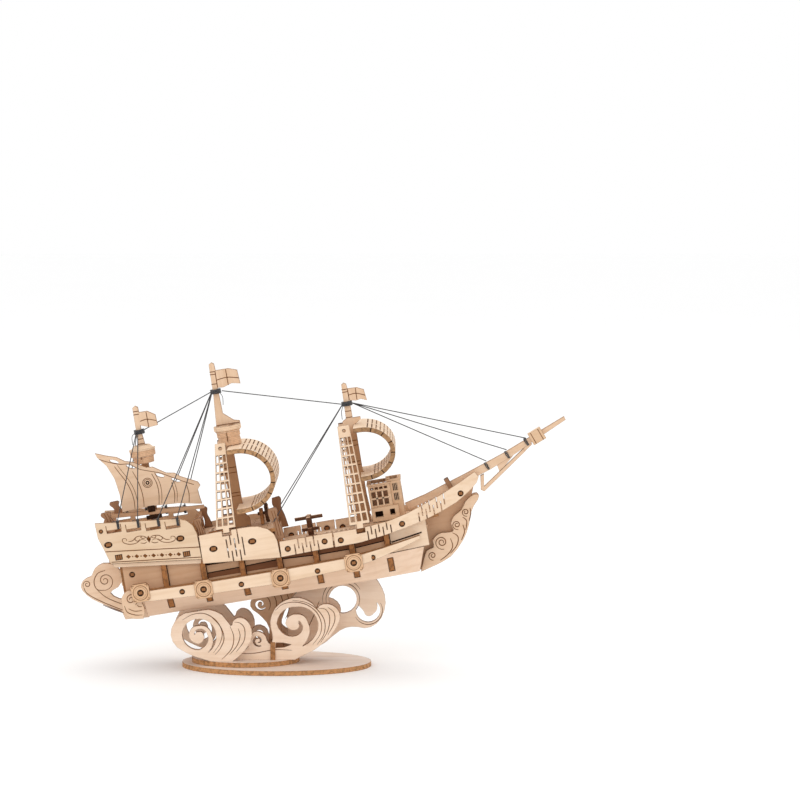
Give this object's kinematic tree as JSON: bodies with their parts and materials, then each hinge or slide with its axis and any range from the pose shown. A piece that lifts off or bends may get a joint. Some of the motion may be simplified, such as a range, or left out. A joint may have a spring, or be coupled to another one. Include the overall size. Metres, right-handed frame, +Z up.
{
  "type": "wooden 3d jigsaw ship",
  "caption": "Press-fit plywood model of a three-masted sailing ship on a scrolling wave stand, with a turning helm wheel and capstan.",
  "frame": {"origin": "on the table under the middle of the model's box", "axes": "+X towards the bow, +Y to port, +Z up"},
  "size_m": [0.2006, 0.046, 0.1265],
  "materials": {
    "birch_ply": "unvarnished birch face",
    "pale_ply": "unvarnished pale birch face",
    "tan_ply": "unvarnished tan face",
    "dark_ply": "laser-browned cut edge",
    "thread": "black waxed thread"
  },
  "bodies": {
    "ship": {"base_plate": "birch_ply", "base_step": "birch_ply", "bow_scroll_port": "birch_ply", "bow_scroll_stbd": "birch_ply", "bow_side_port": "pale_ply", "bow_side_stbd": "pale_ply", "bowsprit": "birch_ply", "bowsprit_collar": "tan_ply", "castle_side_port": "pale_ply", "castle_side_stbd": "pale_ply", "fore_deck": "tan_ply", "fore_house": "tan_ply", "fore_mast": "birch_ply", "fore_rigging": "thread", "fore_sail": "pale_ply", "fore_shroud_port": "pale_ply", "fore_shroud_stbd": "pale_ply", "helm_stand": "tan_ply", "hull_frame_1": "dark_ply", "hull_frame_2": "dark_ply", "hull_frame_3": "dark_ply", "hull_frame_4": "dark_ply", "hull_frame_5": "dark_ply", "hull_frame_6": "dark_ply", "hull_frame_7": "dark_ply", "keel_plate": "tan_ply", "lower_planking_port": "birch_ply", "lower_planking_stbd": "birch_ply", "main_mast": "birch_ply", "main_nest": "tan_ply", "main_rigging": "thread", "main_sail": "pale_ply", "main_shroud_port": "pale_ply", "main_shroud_stbd": "pale_ply", "mizzen_boom": "tan_ply", "mizzen_mast": "birch_ply", "mizzen_nest": "tan_ply", "mizzen_rigging": "thread", "mizzen_sail": "birch_ply", "spritsail_strut": "birch_ply", "stern_scroll": "birch_ply", "stern_side_port": "pale_ply", "stern_side_stbd": "pale_ply", "transom": "birch_ply", "upper_deck": "tan_ply", "upper_planking_port": "tan_ply", "upper_planking_stbd": "tan_ply", "waist_deck": "tan_ply", "waist_side_port": "pale_ply", "waist_side_stbd": "pale_ply", "wale_port": "pale_ply", "wale_stbd": "pale_ply", "wave_bow": "birch_ply", "wave_middle": "tan_ply", "wave_port_aft": "pale_ply", "wave_port_fore": "pale_ply", "wave_stbd_aft": "pale_ply", "wave_stbd_fore": "pale_ply"},
    "capstan": {"capstan": "dark_ply"},
    "helm": {"helm_wheel": "dark_ply"}
  },
  "joints": [
    {"name": "capstan_turn", "type": "hinge", "parent": "ship", "child": "capstan", "pos_m": [-0.00505, 0, 0.05711], "axis": [-0.1616, 0, 0.9869], "continuous": true},
    {"name": "helm_turn", "type": "hinge", "parent": "ship", "child": "helm", "pos_m": [-0.02384, 0, 0.06417], "axis": [0.9869, 0, 0.1616], "continuous": true}
  ]
}
